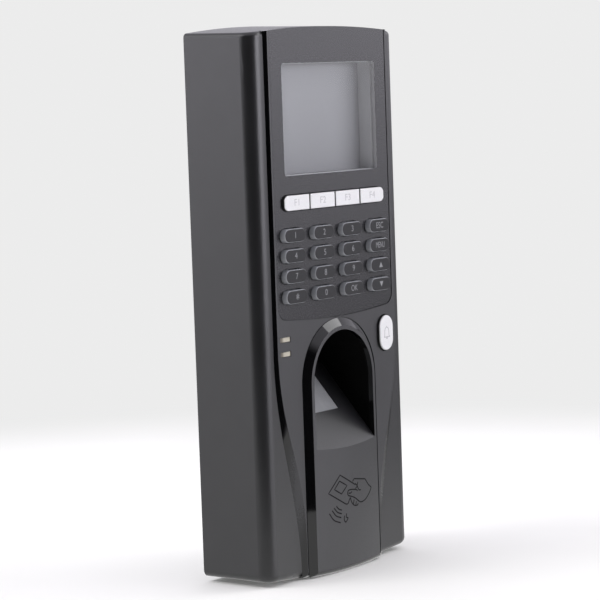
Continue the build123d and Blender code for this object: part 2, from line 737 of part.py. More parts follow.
# --- rear cover with its posts and openings -----------------------------------------------------------
with BuildPart() as rear_cover:
    with BuildSketch(depth(cover_back)):
        add(body_outline(wall + 0.15))
        with Locations((0, port_centre_z)):
            Rectangle(port_x, port_z, mode=Mode.SUBTRACT)
        with Locations((0, -84.6)):
            Rectangle(13.0, 4.0, mode=Mode.SUBTRACT)
        with Locations(*[(x, z - 1.0) for x, z in hook_places]):
            Rectangle(9.6, 5.0, mode=Mode.SUBTRACT)
        with Locations(plunger_place):
            Circle(1.75, mode=Mode.SUBTRACT)
        with Locations(*case_bosses):
            Circle(1.6, mode=Mode.SUBTRACT)
        with Locations(speaker_place):
            with PolarLocations(4.2, 6):
                Circle(0.9, mode=Mode.SUBTRACT)
    extrude(amount=cover_front - cover_back)
    with BuildSketch(depth(cover_back)):
        with Locations(*case_bosses):
            Circle(case_boss_radius)
    extrude(amount=1.1, mode=Mode.SUBTRACT)
    with BuildSketch(depth(cover_front)):
        with Locations(*main_posts):
            Circle(2.6)
    extrude(amount=main_board_depth - cover_front)
    with BuildSketch(depth(cover_front + 0.6)):
        with Locations(*main_posts):
            Circle(1.05)
    extrude(amount=main_board_depth, mode=Mode.SUBTRACT)
save(rear_cover.part, "rear_cover")

# --- wall bracket: steel plate with four hooks and a tab for the locking screw -------------------------
with BuildPart() as wall_bracket:
    with BuildSketch(depth(0)):
        RectangleRounded(bracket_x, bracket_z, 3.0)
        with Locations((0, port_centre_z)):
            Rectangle(port_x, port_z, mode=Mode.SUBTRACT)
        with GridLocations(bracket_holes[0], bracket_holes[1], 2, 2):
            Circle(2.2, mode=Mode.SUBTRACT)
    extrude(amount=bracket_thick)
    for hook_x, hook_z in hook_places:
        with BuildSketch(Plane.YZ.offset(hook_x - 4.0)):
            with BuildLine():
                Polyline((-bracket_thick, hook_z), (-6.8, hook_z), (-6.8, hook_z + 4.0),
                         (-5.4, hook_z + 4.0), (-5.4, hook_z + 1.4), (-bracket_thick, hook_z + 1.4),
                         close=True)
            make_face()
        extrude(amount=8.0)
    with BuildSketch(depth(bracket_thick)):
        with Locations((0, -85.2)):
            Rectangle(12.0, 1.6)
    extrude(amount=8.6)
    with BuildSketch(Plane.XY.offset(-87.0)):
        with Locations((0, -lock_depth)):
            Circle(1.55)
    extrude(amount=4.0, mode=Mode.SUBTRACT)
save(wall_bracket.part, "wall_bracket")

# --- tamper plunger, its switch, and the fasteners ------------------------------------------------------
with BuildPart() as tamper_plunger:
    with BuildSketch(depth(bracket_thick + 0.05)):
        with Locations(plunger_place):
            Circle(1.6)
    extrude(amount=6.2)
    with BuildSketch(depth(cover_front + 0.3)):
        with Locations(plunger_place):
            Circle(2.6)
    extrude(amount=0.8)
save(tamper_plunger.part, "tamper_plunger")

with BuildPart() as tamper_switch:
    with BuildSketch(depth(7.2)):
        with Locations(plunger_place):
            Rectangle(7.0, 7.0)
            Circle(1.8, mode=Mode.SUBTRACT)
    extrude(amount=1.6)
    with BuildSketch(depth(8.8)):
        with Locations(plunger_place):
            Rectangle(7.0, 7.0)
    extrude(amount=main_board_depth - 8.8)
save(tamper_switch.part, "tamper_switch")

with BuildPart() as lock_screw:
    with BuildSketch(Plane.XY.offset(-height / 2 + 0.25)):
        with Locations((0, -lock_depth)):
            Circle(2.9)
    extrude(amount=0.9)
    with BuildSketch(Plane.XY.offset(-height / 2 + 1.15)):
        with Locations((0, -lock_depth)):
            Circle(1.5)
    extrude(amount=7.2)
    with BuildSketch(Plane.XY.offset(-height / 2)):
        with Locations((0, -lock_depth)):
            RegularPolygon(1.3, 6)
    extrude(amount=0.8, mode=Mode.SUBTRACT)
save(lock_screw.part, "lock_screw")

with BuildPart() as case_screws:
    with BuildSketch(depth(cover_back + 0.1)):
        with Locations(*case_bosses):
            Circle(2.7)
    extrude(amount=1.0)
    with BuildSketch(depth(cover_back + 1.1)):
        with Locations(*case_bosses):
            Circle(1.45)
    extrude(amount=9.0)
    with BuildSketch(depth(cover_back)):
        with Locations(*case_bosses):
            Rectangle(3.2, 0.7)
            Rectangle(0.7, 3.2)
    extrude(amount=0.7, mode=Mode.SUBTRACT)
save(case_screws.part, "case_screws")

with BuildPart() as board_screws:
    with BuildSketch(depth(board_front)):
        with Locations(*main_posts):
            Circle(2.2)
    extrude(amount=1.2)
    with BuildSketch(depth(cover_front + 1.4)):
        with Locations(*main_posts):
            Circle(1.0)
    extrude(amount=board_front - cover_front - 1.4)
    for head_back, shaft_front, places in (
            (keypad_board_depth, 25.6, keypad_posts),
            (interface_board_depth, 24.9, interface_posts),
            (frame_back, 23.2, lcd_posts),
            (front_wall_back, 27.6, plate_screw_places)):
        with BuildSketch(depth(head_back - small_head)):
            with Locations(*places):
                Circle(small_head_radius)
        extrude(amount=small_head)
        with BuildSketch(depth(head_back)):
            with Locations(*places):
                Circle(small_shaft_radius)
        extrude(amount=shaft_front - head_back)
save(board_screws.part, "board_screws")
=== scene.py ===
"""Looks of the fingerprint scanner terminal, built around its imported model.

Lengths are in metres and the frame is the model's own: X to the right seen from the front, Z up, and
the front facing -Y. "Depth" means distance from the wall, so it is -Y. Sizes given in millimetres are
multiplied by MM.
"""

import json
import math

import bpy
from mathutils import Matrix, Vector
from mathutils.bvhtree import BVHTree


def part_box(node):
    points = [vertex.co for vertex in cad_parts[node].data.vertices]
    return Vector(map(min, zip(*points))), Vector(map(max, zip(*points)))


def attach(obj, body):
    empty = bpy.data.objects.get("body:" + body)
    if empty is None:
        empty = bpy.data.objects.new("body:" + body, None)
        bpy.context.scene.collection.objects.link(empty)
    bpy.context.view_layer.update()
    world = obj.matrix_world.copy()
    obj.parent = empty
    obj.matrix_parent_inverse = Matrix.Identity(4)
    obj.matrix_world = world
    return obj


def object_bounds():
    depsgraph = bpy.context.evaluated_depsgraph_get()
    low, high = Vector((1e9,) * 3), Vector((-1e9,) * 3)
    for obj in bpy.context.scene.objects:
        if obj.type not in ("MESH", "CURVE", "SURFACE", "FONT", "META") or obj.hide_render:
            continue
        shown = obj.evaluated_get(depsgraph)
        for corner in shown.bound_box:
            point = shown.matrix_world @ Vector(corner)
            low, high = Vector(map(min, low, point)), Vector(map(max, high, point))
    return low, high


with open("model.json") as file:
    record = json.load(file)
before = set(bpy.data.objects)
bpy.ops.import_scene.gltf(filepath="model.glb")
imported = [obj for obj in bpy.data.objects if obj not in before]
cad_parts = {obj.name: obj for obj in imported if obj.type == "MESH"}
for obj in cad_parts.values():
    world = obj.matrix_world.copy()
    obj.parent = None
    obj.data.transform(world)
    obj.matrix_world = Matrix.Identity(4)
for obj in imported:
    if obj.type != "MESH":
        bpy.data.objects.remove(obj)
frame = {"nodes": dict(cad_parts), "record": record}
cad_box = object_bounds()

MM = 0.001
NODES = frame["nodes"]
FLOOR_HEIGHT = cad_box[0].z
CAMERA_PLACE = Vector((-658.3, -509.2, 74.8)) * MM
CAMERA_YAW, CAMERA_PITCH, CAMERA_ROLL = (math.radians(angle) for angle in (53.02, 5.22, 2.0))
CAMERA_LENS = 145.7

# Directions are degrees round from straight in front, positive to the right; heights are -1 to 1.
DARK_SIDE = ((-121, 9), (-1.2, 0.75), 1.0)
ROOM_LIGHT = 1.0
ROOM_COLOUR = (1.0, 0.98, 1.07)
SOFT_BOXES = (
    ((-168, -110), (-0.10, 0.30), 3.0),       # left, seen in the terminal's left side
    ((0, 44), (-0.06, 0.30), 8.5),            # right of the camera, seen in the upright corner
    ((34, 84), (-0.06, 0.42), 1.4))           # right, seen in the front
BACKDROP_TONE = 0.84
SHEET_HALF = 6.0
FLOOR_FADE = (0.24, 0.42)                     # the floor turns into the backdrop at these distances
TABLE_TONE, RIGHT_TABLE_TONE = 1.1, 0.25
TABLE_SPAN = (0.03, 0.35)                     # X at which the table top's painted light starts and stops falling
CONTACT_TONE, CONTACT_SPAN = 0.1, (0.04, 0.10)    # painted shadow under the terminal, and its distances
TABLE_EDGE_WAY, TABLE_EDGE_REACH = (-0.465, -0.885), 0.16
LAMPS = (("lamp_left", (-0.9, 0.5, 0.9), 0.9, 6.0), ("lamp_right", (0.9, -0.7, 0.8), 0.7, 4.0))

KEY_LEGENDS = {
    "key_1": "1", "key_2": "2", "key_3": "3", "key_esc": "ESC",
    "key_4": "4", "key_5": "5", "key_6": "6", "key_menu": "MENU",
    "key_7": "7", "key_8": "8", "key_9": "9",
    "key_star": "*", "key_0": "0", "key_ok": "OK",
}
LETTER_WIDTHS = {"ESC": 0.9, "MENU": 0.66, "OK": 0.87}
ARROW_KEYS = {"key_up": 1, "key_down": -1}
PRINT_THICKNESS = 0.012 * MM

SPARK_GRAIN = 2600                            # scale of the fine noise of moulded plastic
CLOUD_GRAIN = 90                              # scale of the broad unevenness of its tone
SHADE = 0.88                                  # how much darker the darker patches are
KEY_PAINT_DEPTHS = (-30.62 * MM, -30.70 * MM)      # dark paint of the number keys starts here
GAP_SHADE_DEPTHS = (-29.62 * MM, -29.72 * MM)         # painted shade in the gap round the key below here, silver paint from here
LIP_HEIGHTS = (-38 * MM, -42 * MM)                 # the lip of the finger slope lies below these
PIPE_SHADE_ENDS = (-31.2 * MM, -29.6 * MM)              # X at which the painted shade on the status lights gives way to pale
# painted light on the screen grows between these heights
SCREEN_LIGHT_HEIGHTS = (40 * MM, 83 * MM)

# Places are X and Z in millimetres, on the card panel.
CARD_SIGN = (
    ("straight", [(3.1, -63.3), (-5.5, -58.7), (-11.8, -64.1), (-2.8, -69.0)]),          # card
    ("curved", [(-2.8, -69.0), (-1.6, -69.0), (-0.6, -67.7), (0.0, -67.1)]),
    ("straight", [(-5.9, -60.7), (-1.8, -62.8), (-5.0, -65.2), (-8.7, -63.2), (-5.9, -60.7)]),
    ("straight", [(1.4, -61.9), (2.4, -61.1), (9.1, -62.2)]),                            # hand
    ("straight", [(9.1, -62.2), (11.3, -64.6), (13.1, -65.7)]),
    ("curved", [(13.1, -65.7), (12.0, -67.1), (9.3, -69.1), (6.7, -69.7), (5.1, -69.3),
                (2.6, -67.7), (0.3, -66.8), (-1.2, -66.3), (-1.6, -65.2), (-0.4, -64.5),
                (3.0, -64.9), (4.3, -65.5)]),
    ("curved", [(4.6, -62.5), (4.2, -63.8), (5.1, -65.3), (6.3, -65.5)]),                # fingers
    ("curved", [(2.9, -62.8), (4.0, -63.8), (3.0, -64.6)]),
    ("curved", [(0.9, -65.3), (0.0, -65.7), (-1.1, -65.5)]),
    ("curved", [(-0.1, -67.3), (0.6, -68.9), (1.9, -70.1), (3.9, -70.4), (4.4, -69.8)]),
    ("straight", [(2.0, -68.2), (1.6, -69.6)]),
    ("straight", [(3.3, -69.0), (3.0, -70.1)]),
    ("curved", [(-8.0, -68.9), (-6.7, -70.1), (-5.1, -70.7)]),                           # waves
    ("curved", [(-9.2, -69.4), (-7.4, -71.1), (-5.2, -71.9)]),
    ("curved", [(-10.2, -70.1), (-8.2, -72.2), (-5.5, -73.2)]),
    ("curved", [(-11.7, -70.9), (-9.4, -73.5), (-5.9, -74.9)]),
    ("curved", [(-2.6, -72.2), (-2.7, -73.5), (-1.8, -73.9), (-3.1, -75.1), (-3.9, -74.2),
                (-3.7, -72.8)]))

# Places are X and Z in millimetres, from the middle of the bell key.
BELL_SIGN = (
    ("curved", [(-1.7, -1.5), (-1.3, -0.9), (-1.2, 0.6), (-0.8, 1.5), (0.0, 1.9), (0.8, 1.5),
                (1.2, 0.6), (1.3, -0.9), (1.7, -1.5)]),
    ("straight", [(-1.7, -1.5), (1.7, -1.5)]),
    ("curved", [(-0.5, -1.6), (0.0, -2.1), (0.5, -1.6)]),
    ("straight", [(0.0, 1.9), (0.0, 2.3)]))
FUNCTION_KEYS = [f"function_key_{number}" for number in range(1, 5)]


# --- camera, light and floor ---------------------------------------------------------------------
def camera_axes():
    """The camera's right, down and forward directions."""
    forward = Vector((math.sin(CAMERA_YAW) * math.cos(CAMERA_PITCH),
                      math.cos(CAMERA_YAW) * math.cos(CAMERA_PITCH), -math.sin(CAMERA_PITCH)))
    level = Vector((math.cos(CAMERA_YAW), -math.sin(CAMERA_YAW), 0))
    down = forward.cross(level)
    right = level * math.cos(CAMERA_ROLL) + down * math.sin(CAMERA_ROLL)
    return right, forward.cross(right), forward


def make_camera():
    """A long lens, well round to the left of the terminal and a little above its middle."""
    right, down, forward = camera_axes()
    camera = bpy.data.objects.new("camera", bpy.data.cameras.new("camera"))
    bpy.context.scene.collection.objects.link(camera)
    turn = Matrix((right, -down, -forward)).transposed()
    camera.matrix_world = Matrix.Translation(CAMERA_PLACE) @ turn.to_4x4()
    camera.data.sensor_width = 36
    camera.data.lens = CAMERA_LENS
    camera.data.clip_start, camera.data.clip_end = 0.01, 50
    bpy.context.scene.camera = camera


def make_world():
    """A bright room, dark where the camera stands, with tall soft boxes to the left and the right."""
    world = bpy.data.worlds.new("studio")
    world.use_nodes = True
    bpy.context.scene.world = world
    kit = NodeKit(world.node_tree)
    x, y, z = kit.separate(kit.new("ShaderNodeTexCoord").outputs["Generated"])
    round_about = kit.math("ARCTAN2", x, kit.math("MULTIPLY", y, -1.0))
    turn = kit.math("MULTIPLY", round_about, 180 / math.pi)

    def box_light(turns, heights, strength, soft_turn=12.0, soft_height=0.10):
        """Light from a range of directions: degrees round from the front, and heights of -1 to 1."""
        edges = [kit.ramp(turn, [(turns[0], 0.0), (turns[0] + soft_turn, 1.0)]),
                 kit.ramp(turn, [(turns[1] - soft_turn, 1.0), (turns[1], 0.0)]),
                 kit.ramp(z, [(heights[0], 0.0), (heights[0] + soft_height, 1.0)]),
                 kit.ramp(z, [(heights[1] - soft_height, 1.0), (heights[1], 0.0)])]
        amount = strength
        for edge in edges:
            amount = kit.math("MULTIPLY", amount, edge)
        return amount

    dark = box_light(*DARK_SIDE, soft_turn=14.0, soft_height=0.2)
    room = kit.math("MULTIPLY", kit.math("SUBTRACT", 1.0, dark), ROOM_LIGHT)
    total = room
    for turns, heights, strength in SOFT_BOXES:
        total = kit.math("ADD", total, box_light(turns, heights, strength))
    seen = kit.new("ShaderNodeLightPath").outputs["Is Camera Ray"]
    strength = kit.mix_value(seen, total, BACKDROP_TONE)
    background = world.node_tree.nodes["Background"]
    kit.join(kit.mix_colour(seen, ROOM_COLOUR, (1, 1, 1)), background.inputs["Color"])
    kit.join(strength, background.inputs["Strength"])


def make_floor():
    """A pale floor that fades into the backdrop, and a glowing sheet, seen only in reflections, that
    stands for the lit table top that the sides mirror.

    The table top ends at its front edge, so that what the terminal mirrors beyond it is dark.
    """
    pale = surface("floor", (0.9, 0.9, 0.9), roughness=0.8)
    kit = pale.kit
    reach = kit.length(kit.new("ShaderNodeTexCoord").outputs["Object"])
    backdrop = kit.new("ShaderNodeEmission")
    backdrop.inputs["Strength"].default_value = BACKDROP_TONE
    grain = kit.ramp(kit.noise(9.0, 3.0), [(0.3, 0.0), (0.7, 1.0)])
    kit.join(kit.mix_colour(grain, (0.87, 0.87, 0.83), (0.92, 0.92, 0.88)),
             pale.shader.inputs["Base Color"])
    fade = kit.new("ShaderNodeMixShader")
    kit.join(kit.ramp(reach, [(FLOOR_FADE[0], 0.0), (FLOOR_FADE[1], 1.0)]), fade.inputs[0])
    kit.join(pale.shader.outputs[0], fade.inputs[1])
    kit.join(backdrop.outputs[0], fade.inputs[2])
    kit.join(fade.outputs[0], pale.material.node_tree.nodes["Material Output"].inputs["Surface"])
    far = SHEET_HALF
    floor = sheet_object("floor", [(-far, -far), (far, -far), (far, far), (-far, far)], FLOOR_HEIGHT,
                         pale.material)
    floor.visible_glossy = False

    table = surface("table_top", (0.9, 0.9, 0.9), roughness=0.6)
    kit = table.kit
    place = kit.new("ShaderNodeTexCoord").outputs["Object"]
    # painted light: the table top's glow falls off towards the right
    across = kit.ramp(kit.separate(place)[0],
                      [(TABLE_SPAN[0], TABLE_TONE), (TABLE_SPAN[1], RIGHT_TABLE_TONE)])
    # painted shadow: the glow darkens close under the terminal
    contact = kit.ramp(kit.length(place), [(CONTACT_SPAN[0], CONTACT_TONE), (CONTACT_SPAN[1], 1.0)])
    glow = kit.new("ShaderNodeEmission")
    kit.join(kit.math("MULTIPLY", across, contact), glow.inputs["Strength"])
    kit.join(glow.outputs[0], table.material.node_tree.nodes["Material Output"].inputs["Surface"])
    edge_way = Vector(TABLE_EDGE_WAY)
    along = Vector((-edge_way.y, edge_way.x))
    corners = [edge_way * TABLE_EDGE_REACH + along * side for side in (-far, far)]
    corners += [edge_way * -far + along * side for side in (far, -far)]
    near = sheet_object("table_top", [tuple(c) for c in corners], FLOOR_HEIGHT + 0.02 * MM,
                        table.material)
    near.visible_camera = False
    near.visible_diffuse = False
    near.visible_shadow = False
    near.visible_transmission = False


def sheet_object(name, corners, height, material):
    """A flat four-cornered sheet at a height."""
    mesh = bpy.data.meshes.new(name)
    mesh.from_pydata([(x, y, height) for x, y in corners], [], [(0, 1, 2, 3)])
    mesh.materials.append(material)
    sheet = bpy.data.objects.new(name, mesh)
    bpy.context.scene.collection.objects.link(sheet)
    return sheet


def make_lights():
    """Two soft lamps, above the left and above the right, for the light that plain surfaces scatter."""
    for name, place, size, power in LAMPS:
        light = bpy.data.lights.new(name, "AREA")
        light.shape = "DISK"
        light.size = size
        light.energy = power
        light.specular_factor = 0.0
        lamp = bpy.data.objects.new(name, light)
        lamp.location = place
        lamp.rotation_mode = "QUATERNION"
        lamp.rotation_quaternion = (-Vector(place)).to_track_quat("-Z", "Y")
        bpy.context.scene.collection.objects.link(lamp)


# --- shader helpers ------------------------------------------------------------------------------
class NodeKit:
    """Short names for the few shader nodes that the materials use."""

    def __init__(self, tree):
        self.tree = tree

    def new(self, kind, **settings):
        node = self.tree.nodes.new(kind)
        for name, value in settings.items():
            setattr(node, name, value)
        return node

    def join(self, source, target):
        self.tree.links.new(source, target)

    def feed(self, value, socket):
        if isinstance(value, bpy.types.NodeSocket):
            self.join(value, socket)
        else:
            socket.default_value = value

    def math(self, operation, first, second=0.0):
        node = self.new("ShaderNodeMath", operation=operation)
        self.feed(first, node.inputs[0])
        self.feed(second, node.inputs[1])
        return node.outputs[0]

    def dot(self, vector, fixed):
        node = self.new("ShaderNodeVectorMath", operation="DOT_PRODUCT")
        self.feed(vector, node.inputs[0])
        node.inputs[1].default_value = fixed
        return node.outputs["Value"]

    def length(self, vector):
        node = self.new("ShaderNodeVectorMath", operation="LENGTH")
        self.feed(vector, node.inputs[0])
        return node.outputs["Value"]

    def separate(self, vector):
        node = self.new("ShaderNodeSeparateXYZ")
        self.feed(vector, node.inputs[0])
        return node.outputs

    def mix_value(self, factor, first, second):
        node = self.new("ShaderNodeMix", data_type="FLOAT")
        self.feed(factor, node.inputs[0])
        self.feed(first, node.inputs[2])
        self.feed(second, node.inputs[3])
        return node.outputs[0]

    def mix_colour(self, factor, first, second):
        node = self.new("ShaderNodeMix", data_type="RGBA")
        self.feed(factor, node.inputs[0])
        self.feed(first if not isinstance(first, tuple) else (*first, 1), node.inputs[6])
        self.feed(second if not isinstance(second, tuple) else (*second, 1), node.inputs[7])
        return node.outputs[2]

    def ramp(self, value, stops):
        """A smooth step between two (value, result) stops."""
        node = self.new("ShaderNodeMapRange", interpolation_type="SMOOTHSTEP")
        self.feed(value, node.inputs["Value"])
        node.inputs["From Min"].default_value, node.inputs["From Max"].default_value = (
            stops[0][0], stops[1][0])
        node.inputs["To Min"].default_value, node.inputs["To Max"].default_value = (
            stops[0][1], stops[1][1])
        return node.outputs[0]

    def noise(self, scale, detail=2.0, vector=None):
        node = self.new("ShaderNodeTexNoise")
        node.inputs["Scale"].default_value = scale
        node.inputs["Detail"].default_value = detail
        self.feed(vector or self.new("ShaderNodeTexCoord").outputs["Object"], node.inputs["Vector"])
        return node.outputs["Fac"]

    def bump(self, height, distance, strength=1.0):
        node = self.new("ShaderNodeBump")
        node.inputs["Distance"].default_value = distance
        node.inputs["Strength"].default_value = strength
        self.feed(height, node.inputs["Height"])
        return node.outputs[0]


class surface:
    """A material with one Principled shader and a kit for its nodes."""

    def __init__(self, name, colour, roughness, metallic=0.0):
        self.material = bpy.data.materials.new(name)
        self.material.use_nodes = True
        self.kit = NodeKit(self.material.node_tree)
        self.shader = self.material.node_tree.nodes["Principled BSDF"]
        self.shader.inputs["Base Color"].default_value = (*colour, 1)
        self.shader.inputs["Roughness"].default_value = roughness
        self.shader.inputs["Metallic"].default_value = metallic


def spark_textured(name, colour, roughness, grain=SPARK_GRAIN, height=0.004, unevenness=0.05):
    """Moulded plastic with a fine spark texture, slightly uneven in tone and gloss."""
    made = surface(name, colour, roughness)
    kit = made.kit
    fine = kit.noise(grain, 3.0)
    broad = kit.noise(CLOUD_GRAIN, 2.0)
    tone = kit.ramp(broad, [(0.35, 0.0), (0.65, 1.0)])
    darker = tuple(c * SHADE for c in colour)
    kit.join(kit.mix_colour(tone, darker, colour), made.shader.inputs["Base Color"])
    gloss = kit.ramp(fine, [(0.3, roughness - unevenness), (0.7, roughness + unevenness)])
    kit.join(gloss, made.shader.inputs["Roughness"])
    kit.join(kit.bump(fine, height * MM), made.shader.inputs["Normal"])
    return made.material


def bevel_polished(name, colour, flat_roughness, polished_roughness):
    """Plastic that is satin where it faces forward, and on the finger slope, and polished elsewhere."""
    made = surface(name, colour, flat_roughness)
    kit = made.kit
    _, facing, rising = kit.separate(kit.new("ShaderNodeNewGeometry").outputs["Normal"])
    level = kit.separate(kit.new("ShaderNodeTexCoord").outputs["Object"])[2]
    slope = kit.math("MULTIPLY", kit.ramp(rising, [(0.4, 0.0), (0.6, 1.0)]),
                     kit.ramp(level, [(LIP_HEIGHTS[0], 0.0), (LIP_HEIGHTS[1], 1.0)]))
    flat = kit.math("MAXIMUM", kit.ramp(facing, [(-0.90, 0.0), (-0.97, 1.0)]), slope)
    fine = kit.noise(SPARK_GRAIN, 3.0)
    broad = kit.noise(CLOUD_GRAIN, 2.0)
    darker = tuple(c * SHADE for c in colour)
    satin_colour = kit.mix_colour(kit.ramp(broad, [(0.35, 0.0), (0.65, 1.0)]), darker, colour)
    deep = tuple(c * 0.2 for c in colour)
    kit.join(kit.mix_colour(flat, deep, satin_colour), made.shader.inputs["Base Color"])
    satin = kit.ramp(fine, [(0.3, flat_roughness - 0.05), (0.7, flat_roughness + 0.05)])
    kit.join(kit.mix_value(flat, polished_roughness, satin), made.shader.inputs["Roughness"])
    height = kit.math("MULTIPLY", fine, flat)
    kit.join(kit.bump(height, 0.004 * MM), made.shader.inputs["Normal"])
    return made.material


def well_plastic():
    """The finger well: walls painted near black, with their sheen turned down, as painted shade inside
    the well, and a textured slope that catches the light.
    """
    made = surface("well_plastic", (0.010, 0.010, 0.011), 0.40)
    kit = made.kit
    rising = kit.separate(kit.new("ShaderNodeNewGeometry").outputs["True Normal"])[2]
    slope = kit.ramp(rising, [(0.3, 0.0), (0.5, 1.0)])
    # painted shade: the walls are coloured near black and mirror little, while the slope keeps its
    # colour and sheen
    kit.join(kit.mix_colour(slope, (0.003, 0.003, 0.003), (0.014, 0.014, 0.0155)),
             made.shader.inputs["Base Color"])
    kit.join(kit.mix_value(slope, 0.08, 0.5), made.shader.inputs["Specular IOR Level"])
    kit.join(kit.bump(kit.noise(2200, 3.0), 0.012 * MM), made.shader.inputs["Normal"])
    return made.material


def key_plastic():
    """Dark printed tops on light grey walls: the paint ends a little inside the key's edge."""
    wall, paint = (0.34, 0.35, 0.37), (0.010, 0.010, 0.011)
    made = surface("key_plastic", paint, 0.5)
    kit = made.kit
    depth = kit.separate(kit.new("ShaderNodeTexCoord").outputs["Object"])[1]
    top = kit.ramp(depth, [(KEY_PAINT_DEPTHS[0], 0.0), (KEY_PAINT_DEPTHS[1], 1.0)])
    fine = kit.noise(3000, 3.0)
    speck = kit.ramp(fine, [(0.3, 0.9), (0.7, 1.1)])
    painted = kit.mix_colour(top, wall, paint)
    kit.join(painted, made.shader.inputs["Base Color"])
    kit.join(kit.math("MULTIPLY", kit.mix_value(top, 0.30, 0.52), speck),
             made.shader.inputs["Roughness"])
    kit.join(kit.mix_value(top, 0.5, 0.25), made.shader.inputs["Specular IOR Level"])
    kit.join(kit.bump(fine, 0.003 * MM), made.shader.inputs["Normal"])
    return made.material


def silver_paint():
    """Silver paint with fine flakes; below it, in the gap round the key, the walls are painted near
    black as painted shade.
    """
    made = surface("silver_plastic", (0.66, 0.66, 0.66), 0.40)
    kit = made.kit
    flakes = kit.noise(6000, 2.0)
    shine = kit.ramp(flakes, [(0.3, 0.0), (0.7, 1.0)])
    silver = kit.mix_colour(shine, (0.59, 0.59, 0.59), (0.66, 0.66, 0.66))
    depth = kit.separate(kit.new("ShaderNodeTexCoord").outputs["Object"])[1]
    painted = kit.ramp(depth, [(GAP_SHADE_DEPTHS[0], 0.0), (GAP_SHADE_DEPTHS[1], 1.0)])
    # painted shade: below the silver, the key's walls in the gap are coloured near black
    kit.join(kit.mix_colour(painted, (0.02, 0.02, 0.02), silver), made.shader.inputs["Base Color"])
    kit.join(kit.bump(flakes, 0.002 * MM), made.shader.inputs["Normal"])
    return made.material


def clear_lens():
    """A clear sheet: what is behind shows through, the room is mirrored, and its cut edges are grey."""
    made = surface("display_lens", (0.34, 0.34, 0.344), 0.5)
    kit = made.kit
    clear = kit.new("ShaderNodeBsdfTransparent")
    clear.inputs["Color"].default_value = (0.96, 0.965, 0.97, 1)
    mirror = kit.new("ShaderNodeBsdfGlossy")
    mirror.inputs["Roughness"].default_value = 0.06
    fresnel = kit.new("ShaderNodeFresnel")
    fresnel.inputs["IOR"].default_value = 1.45
    geometry = kit.new("ShaderNodeNewGeometry")
    outside = kit.math("SUBTRACT", 1.0, geometry.outputs["Backfacing"])
    face = kit.new("ShaderNodeMixShader")
    kit.join(kit.math("MULTIPLY", fresnel.outputs[0], outside), face.inputs[0])
    kit.join(clear.outputs[0], face.inputs[1])
    kit.join(mirror.outputs[0], face.inputs[2])
    across = kit.math("ABSOLUTE", kit.separate(geometry.outputs["True Normal"])[1])
    whole = kit.new("ShaderNodeMixShader")
    kit.join(kit.ramp(across, [(0.4, 1.0), (0.6, 0.0)]), whole.inputs[0])
    kit.join(face.outputs[0], whole.inputs[1])
    kit.join(made.shader.outputs[0], whole.inputs[2])
    kit.join(whole.outputs[0], made.material.node_tree.nodes["Material Output"].inputs["Surface"])
    return made.material


def grey_foam():
    """The grey frame round the screen, with painted shade making its upper and lower inner walls
    darker.
    """
    made = surface("grey_foam", (0.5, 0.5, 0.505), 0.6)
    kit = made.kit
    normal = kit.new("ShaderNodeNewGeometry").outputs["True Normal"]
    rising = kit.math("ABSOLUTE", kit.separate(normal)[2])
    # painted shade: walls that face up or down are coloured darker
    kit.join(kit.mix_colour(kit.ramp(rising, [(0.5, 0.0), (0.7, 1.0)]), (0.52, 0.52, 0.525),
                            (0.16, 0.16, 0.162)), made.shader.inputs["Base Color"])
    kit.join(kit.bump(kit.noise(1500, 3.0), 0.006 * MM), made.shader.inputs["Normal"])
    return made.material


def screen_glass():
    """The unlit screen: flat grey, with painted light making it a shade lighter towards its top."""
    made = surface("lcd_glass", (0.30, 0.30, 0.305), 0.35)
    kit = made.kit
    height = kit.separate(kit.new("ShaderNodeTexCoord").outputs["Object"])[2]
    # painted light: the screen's colour grows lighter towards its top
    tone = kit.ramp(height, [(SCREEN_LIGHT_HEIGHTS[0], 0.0), (SCREEN_LIGHT_HEIGHTS[1], 1.0)])
    kit.join(kit.mix_colour(tone, (0.20, 0.20, 0.204), (0.24, 0.24, 0.244)),
             made.shader.inputs["Base Color"])
    kit.join(kit.bump(kit.noise(4000, 1.0), 0.001 * MM), made.shader.inputs["Normal"])
    return made.material


def circuit_board():
    """Green solder mask with darker tracks."""
    made = surface("circuit_board", (0.02, 0.15, 0.06), 0.3)
    kit = made.kit
    tracks = kit.new("ShaderNodeTexBrick", offset=0.5)
    tracks.inputs["Scale"].default_value = 260
    tracks.inputs["Mortar Size"].default_value = 0.06
    tracks.inputs["Color1"].default_value = (0.018, 0.13, 0.05, 1)
    tracks.inputs["Color2"].default_value = (0.022, 0.16, 0.06, 1)
    tracks.inputs["Mortar"].default_value = (0.04, 0.22, 0.09, 1)
    kit.join(kit.new("ShaderNodeTexCoord").outputs["Object"], tracks.inputs["Vector"])
    kit.join(tracks.outputs["Color"], made.shader.inputs["Base Color"])
    kit.join(kit.bump(tracks.outputs["Fac"], 0.02 * MM, 0.5), made.shader.inputs["Normal"])
    return made.material


def metal(name, colour, roughness, grain=700, height=0.003):
    """Plated or brushed metal with fine streaks."""
    made = surface(name, colour, roughness, metallic=1.0)
    kit = made.kit
    streaks = kit.noise(grain, 4.0)
    darker = tuple(c * 0.85 for c in colour)
    kit.join(kit.mix_colour(streaks, darker, colour), made.shader.inputs["Base Color"])
    kit.join(kit.ramp(streaks, [(0.3, roughness - 0.06), (0.7, roughness + 0.08)]),
             made.shader.inputs["Roughness"])
    kit.join(kit.bump(streaks, height * MM), made.shader.inputs["Normal"])
    return made.material


def optical_glass():
    """The fingerprint prism: pale, polished, slightly milky."""
    made = surface("prism_glass", (0.30, 0.305, 0.31), 0.12)
    kit = made.kit
    cloud = kit.noise(220, 2.0)
    kit.join(kit.mix_colour(cloud, (0.25, 0.255, 0.26), (0.34, 0.345, 0.35)),
             made.shader.inputs["Base Color"])
    kit.join(kit.ramp(cloud, [(0.3, 0.08), (0.7, 0.2)]), made.shader.inputs["Roughness"])
    return made.material


